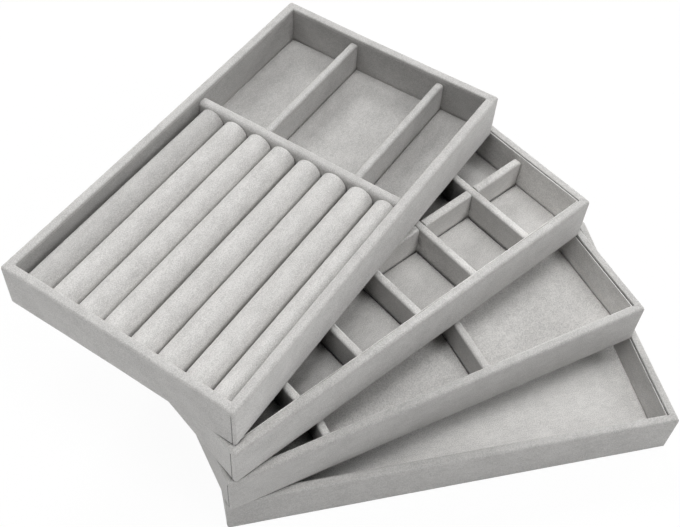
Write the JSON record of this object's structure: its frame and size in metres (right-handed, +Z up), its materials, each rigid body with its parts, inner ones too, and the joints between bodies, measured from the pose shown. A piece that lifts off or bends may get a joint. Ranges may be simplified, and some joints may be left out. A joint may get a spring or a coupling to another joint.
{
  "type": "jewelry tray",
  "caption": "Set of stackable grey velvet jewelry trays, fanned about one corner: ring rolls, a small-cell grid, a few wide compartments and an open tray.",
  "frame": {"origin": "centre of the underside of the bottom tray, on the surface it rests on", "axes": "+X along the bottom tray's length, +Y across it away from the front wall, +Z up"},
  "size_m": [0.3276, 0.2692, 0.1129],
  "materials": {
    "velvet": "matte",
    "velvet_lining": "matte",
    "velvet_floor": "matte",
    "velvet_divider": "matte",
    "velvet_roll": "matte",
    "felt": "matte",
    "board": "matte",
    "card": "matte",
    "foam": "matte"
  },
  "bodies": {
    "open_tray": {"open_tray_underside_sheet": "felt", "open_tray_base_board": "board", "open_tray_front_wall_board": "board", "open_tray_back_wall_board": "board", "open_tray_left_wall_board": "board", "open_tray_right_wall_board": "board", "open_tray_velvet_wrap": "velvet", "open_tray_wall_lining": "velvet_lining", "open_tray_floor_pad": "velvet_floor"},
    "three_part_tray": {"three_part_tray_underside_sheet": "felt", "three_part_tray_base_board": "board", "three_part_tray_front_wall_board": "board", "three_part_tray_back_wall_board": "board", "three_part_tray_left_wall_board": "board", "three_part_tray_right_wall_board": "board", "three_part_tray_velvet_wrap": "velvet", "three_part_tray_wall_lining": "velvet_lining", "three_part_tray_floor_pad": "velvet_floor", "three_part_tray_cross_divider_1": "velvet_divider", "three_part_tray_cross_divider_2": "velvet_divider"},
    "grid_tray": {"grid_tray_underside_sheet": "felt", "grid_tray_base_board": "board", "grid_tray_front_wall_board": "board", "grid_tray_back_wall_board": "board", "grid_tray_left_wall_board": "board", "grid_tray_right_wall_board": "board", "grid_tray_velvet_wrap": "velvet", "grid_tray_wall_lining": "velvet_lining", "grid_tray_floor_pad": "velvet_floor", "grid_tray_cross_divider_1": "velvet_divider", "grid_tray_cross_divider_2": "velvet_divider", "grid_tray_cross_divider_3": "velvet_divider", "grid_tray_cross_divider_4": "velvet_divider", "grid_tray_cross_divider_5": "velvet_divider", "grid_tray_long_divider_1": "velvet_divider", "grid_tray_long_divider_2": "velvet_divider"},
    "ring_tray": {"ring_tray_underside_sheet": "felt", "ring_tray_base_board": "board", "ring_tray_front_wall_board": "board", "ring_tray_back_wall_board": "board", "ring_tray_left_wall_board": "board", "ring_tray_right_wall_board": "board", "ring_tray_velvet_wrap": "velvet", "ring_tray_wall_lining": "velvet_lining", "ring_tray_floor_pad": "velvet_floor", "ring_tray_cross_divider": "velvet_divider", "ring_tray_partition_1": "velvet_divider", "ring_tray_partition_2": "velvet_divider", "ring_tray_roll_card": "card", "ring_tray_roll_foam": "foam", "ring_tray_ring_roll_1": "velvet_roll", "ring_tray_ring_roll_2": "velvet_roll", "ring_tray_ring_roll_3": "velvet_roll", "ring_tray_ring_roll_4": "velvet_roll", "ring_tray_ring_roll_5": "velvet_roll", "ring_tray_ring_roll_6": "velvet_roll", "ring_tray_ring_roll_7": "velvet_roll", "ring_tray_ring_roll_8": "velvet_roll"}
  },
  "joints": [
    {"name": "three_part_tray_swing", "type": "hinge", "parent": "open_tray", "child": "three_part_tray", "pos_m": [-0.1046, -0.0627, 0.0283], "axis": [0, 0, 1], "range_deg": [-28.8, 16.2]},
    {"name": "grid_tray_swing", "type": "hinge", "parent": "three_part_tray", "child": "grid_tray", "pos_m": [-0.11887, -0.05786, 0.0566], "axis": [0, 0, 1], "range_deg": [-28.8, 16.2]},
    {"name": "ring_tray_swing", "type": "hinge", "parent": "grid_tray", "child": "ring_tray", "pos_m": [-0.12756, -0.0641, 0.0849], "axis": [0, 0, 1], "range_deg": [-31, 14]}
  ]
}
